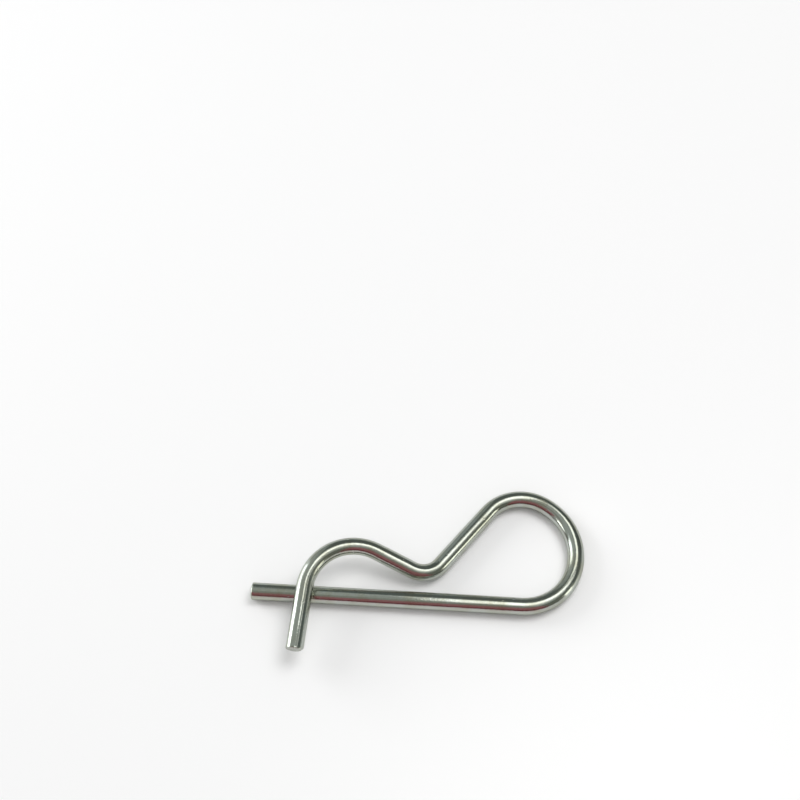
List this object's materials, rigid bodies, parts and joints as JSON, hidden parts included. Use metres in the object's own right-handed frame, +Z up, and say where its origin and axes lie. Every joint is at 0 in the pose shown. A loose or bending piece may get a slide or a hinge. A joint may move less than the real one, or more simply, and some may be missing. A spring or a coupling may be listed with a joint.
{
  "type": "hitch r clip pin",
  "caption": "Round spring wire bent into a straight leg, an eye loop and a humped limb: the leg goes through a shaft's cross hole and the hump grips the shaft.",
  "frame": {"origin": "on the leg's axis, at the centre of the shaft that the leg pins, under the crest of the hump", "axes": "+X along the leg towards the loop, +Y towards the limb with the hump, +Z up from the surface that the clip lies on"},
  "size_m": [0.062, 0.0361, 0.0078],
  "materials": {
    "zinc_plate": "bright zinc plate with a clear passivate on drawn spring-steel wire"
  },
  "bodies": {
    "root": {"bent_wire": "zinc_plate"}
  },
  "joints": []
}
